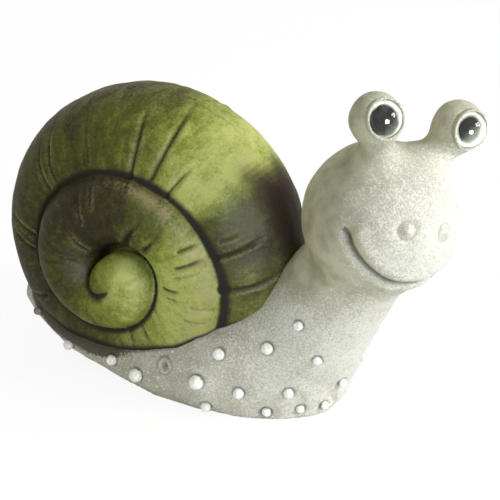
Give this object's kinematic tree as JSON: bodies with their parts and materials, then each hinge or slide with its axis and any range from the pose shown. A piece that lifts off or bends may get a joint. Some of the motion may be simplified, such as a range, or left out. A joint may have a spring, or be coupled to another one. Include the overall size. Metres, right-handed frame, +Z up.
{
  "type": "snail figurine",
  "caption": "Garden snail figurine with a coiled shell, turned head, glass eyes on stalks and pellets bedded in a flat foot.",
  "frame": {"origin": "on the foot's flat underside, below the place where the neck leaves the coil, in the plane the two sides of the foot mirror about", "axes": "+X where the foot points, +Z up, +Y to the snail's left"},
  "size_m": [0.2882, 0.125, 0.2057],
  "materials": {
    "grey_casting": "filled casting resin, grey with dry-brushed white",
    "green_casting": "filled casting resin, olive green with a brown wash",
    "white_pellets": "dry-brushed white",
    "white_disc": "white paint",
    "dark_disc": "dark grey paint",
    "clear_glass": "polished clear glass"
  },
  "bodies": {
    "root": {"body_casting": "grey_casting", "shell_casting": "green_casting", "right_flank_pellets": "white_pellets", "left_flank_pellets": "white_pellets", "chest_pellets": "white_pellets", "right_eye_backing": "white_disc", "left_eye_backing": "white_disc", "right_eye_pupil": "dark_disc", "left_eye_pupil": "dark_disc", "right_eye_dome": "clear_glass", "left_eye_dome": "clear_glass"}
  },
  "joints": []
}
